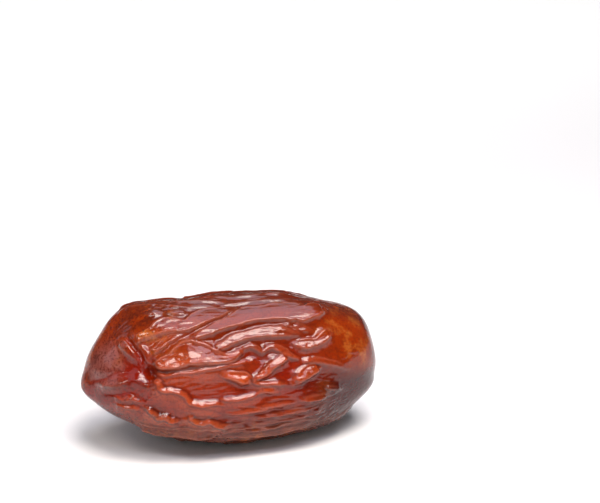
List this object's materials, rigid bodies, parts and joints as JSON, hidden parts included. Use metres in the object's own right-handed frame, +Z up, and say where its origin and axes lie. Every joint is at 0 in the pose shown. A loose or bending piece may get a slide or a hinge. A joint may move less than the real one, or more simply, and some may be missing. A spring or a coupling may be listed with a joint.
{
  "type": "pitted date",
  "caption": "Oblong wrinkled date, a blunt end and a puckered nose with the slit left by pitting, lying on its side on a small flat spot.",
  "frame": {"origin": "on the surface the date lies on, under the middle of its outline", "axes": "+X along the date from the nose to the blunt end, -Y the side with the pitting mark, +Z up"},
  "size_m": [0.05, 0.0262, 0.0244],
  "materials": {
    "date_skin": null
  },
  "bodies": {
    "root": {"date": "date_skin"}
  },
  "joints": []
}
